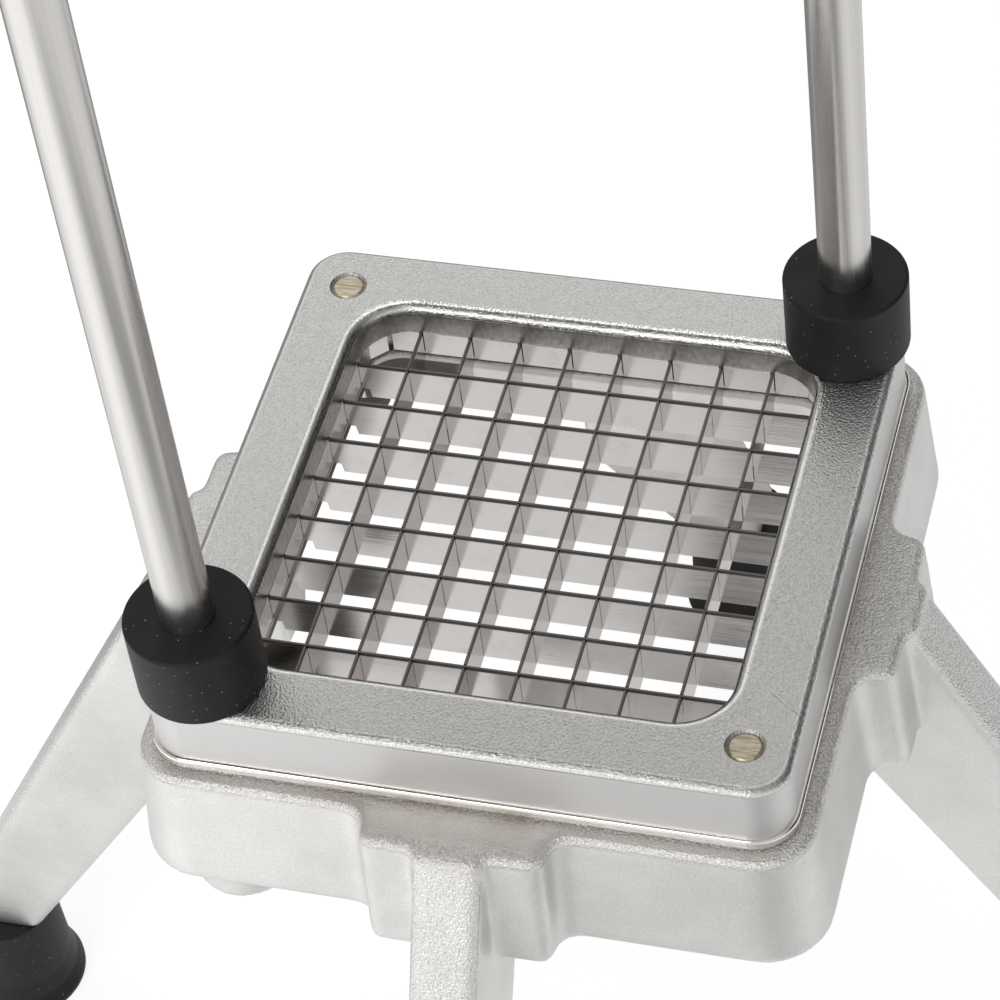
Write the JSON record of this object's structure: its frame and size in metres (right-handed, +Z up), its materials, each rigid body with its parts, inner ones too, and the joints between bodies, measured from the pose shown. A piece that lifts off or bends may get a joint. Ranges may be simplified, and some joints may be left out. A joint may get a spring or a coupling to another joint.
{
  "type": "french fry cutter",
  "caption": "Push-down french fry cutter: a splayed four-legged cast base, a square grid of crossed blades and a fingered head sliding on corner guide rods.",
  "frame": {"origin": "on the floor under the middle of the blade grid", "axes": "+Z up along the guide rods, -Y towards the front foot, +X towards the right foot"},
  "size_m": [0.3888, 0.3888, 0.7835],
  "materials": {
    "base_aluminium": "die-cast, lightly rough skin with a faint flow pattern",
    "frame_aluminium": "satin cast aluminium with a fine grain",
    "blade_steel": "polished stainless sheet with darker ground edges",
    "rod_steel": "ground bar with fine streaks along its length",
    "rubber": "matte black moulded rubber",
    "yellow_plated_steel": "dull yellow plating",
    "screw_steel": "plain stainless fasteners",
    "black_steel": "black oxide",
    "white_plastic": "natural white food-grade plastic, machined",
    "black_plastic": "black moulded grip with a fine grain"
  },
  "bodies": {
    "base": {"base_casting": "base_aluminium", "foot_front": "rubber", "foot_right": "rubber", "foot_back": "rubber", "foot_left": "rubber", "foot_screws": "screw_steel", "guide_rod_front_left": "rod_steel", "bumper_front_left": "rubber", "guide_rod_back_right": "rod_steel", "bumper_back_right": "rubber", "rod_set_screws": "black_steel", "blade_frame": "frame_aluminium", "holder_strip_back": "blade_steel", "holder_strip_left": "blade_steel", "holder_strip_front": "blade_steel", "holder_strip_right": "blade_steel", "row_blade_1": "blade_steel", "row_blade_2": "blade_steel", "row_blade_3": "blade_steel", "row_blade_4": "blade_steel", "row_blade_5": "blade_steel", "row_blade_6": "blade_steel", "row_blade_7": "blade_steel", "row_blade_8": "blade_steel", "column_blade_1": "blade_steel", "column_blade_2": "blade_steel", "column_blade_3": "blade_steel", "column_blade_4": "blade_steel", "column_blade_5": "blade_steel", "column_blade_6": "blade_steel", "column_blade_7": "blade_steel", "column_blade_8": "blade_steel"},
    "clamp_screw_back_left": {"clamp_stud_back_left": "yellow_plated_steel", "wing_head_back_left": "yellow_plated_steel"},
    "clamp_screw_front_right": {"clamp_stud_front_right": "yellow_plated_steel", "wing_head_front_right": "yellow_plated_steel"},
    "head": {"head_casting": "frame_aluminium", "bushing_front_left": "white_plastic", "bushing_back_right": "white_plastic", "pusher_block": "white_plastic", "pusher_screws": "screw_steel", "handle_arm_right": "frame_aluminium", "handle_arm_left": "frame_aluminium", "arm_screws": "screw_steel", "grip": "black_plastic", "grip_bar": "rod_steel", "grip_cap_nuts": "screw_steel"}
  },
  "joints": [
    {"name": "head_slide", "type": "slide", "parent": "base", "child": "head", "axis": [0, 0, 1], "range_m": [-0.236, 0.04]},
    {"name": "clamp_screw_back_left_turn", "type": "hinge", "parent": "base", "child": "clamp_screw_back_left", "pos_m": [-0.0636, 0.0623, 0.2], "axis": [0, 0, 1], "continuous": true},
    {"name": "clamp_screw_front_right_turn", "type": "hinge", "parent": "base", "child": "clamp_screw_front_right", "pos_m": [0.0636, -0.0623, 0.2], "axis": [0, 0, 1], "continuous": true}
  ]
}
